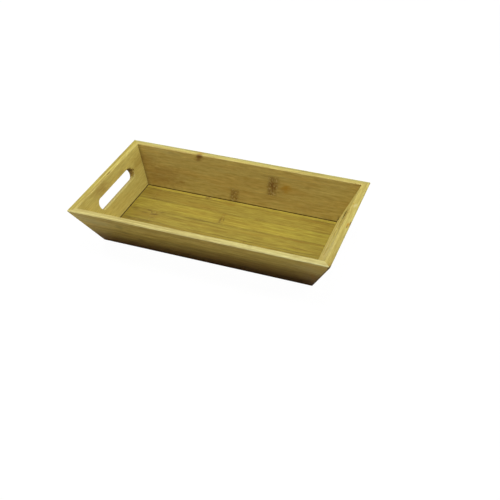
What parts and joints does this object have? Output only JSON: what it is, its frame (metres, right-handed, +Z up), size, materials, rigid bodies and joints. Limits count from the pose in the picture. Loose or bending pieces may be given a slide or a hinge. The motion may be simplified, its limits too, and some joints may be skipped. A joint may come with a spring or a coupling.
{
  "type": "serving tray",
  "caption": "Rectangular bamboo serving tray with outward-leaning mitred walls, a flat strip floor held in a groove and a rounded hand hole through each end wall.",
  "frame": {"origin": "on the ground below the middle of the tray", "axes": "+X along the tray towards the right end, +Y across it towards the back, +Z up"},
  "size_m": [0.3502, 0.1902, 0.06],
  "materials": {
    "wall_inside": "satin clear lacquer on bamboo",
    "wall_outside": "satin clear lacquer on bamboo",
    "floor": "satin clear lacquer on bamboo"
  },
  "bodies": {
    "root": {"front_inner_strip_1": "wall_inside", "front_inner_strip_2": "wall_inside", "front_inner_strip_3": "wall_inside", "front_outer_strip_1": "wall_outside", "front_outer_strip_2": "wall_outside", "front_outer_strip_3": "wall_outside", "right_inner_strip_1": "wall_inside", "right_inner_strip_2": "wall_inside", "right_inner_strip_3": "wall_inside", "right_outer_strip_1": "wall_outside", "right_outer_strip_2": "wall_outside", "right_outer_strip_3": "wall_outside", "back_inner_strip_1": "wall_inside", "back_inner_strip_2": "wall_inside", "back_inner_strip_3": "wall_inside", "back_outer_strip_1": "wall_outside", "back_outer_strip_2": "wall_outside", "back_outer_strip_3": "wall_outside", "left_inner_strip_1": "wall_inside", "left_inner_strip_2": "wall_inside", "left_inner_strip_3": "wall_inside", "left_outer_strip_1": "wall_outside", "left_outer_strip_2": "wall_outside", "left_outer_strip_3": "wall_outside", "floor_strip_1": "floor", "floor_strip_2": "floor", "floor_strip_3": "floor", "floor_strip_4": "floor", "floor_strip_5": "floor", "floor_strip_6": "floor"}
  },
  "joints": []
}
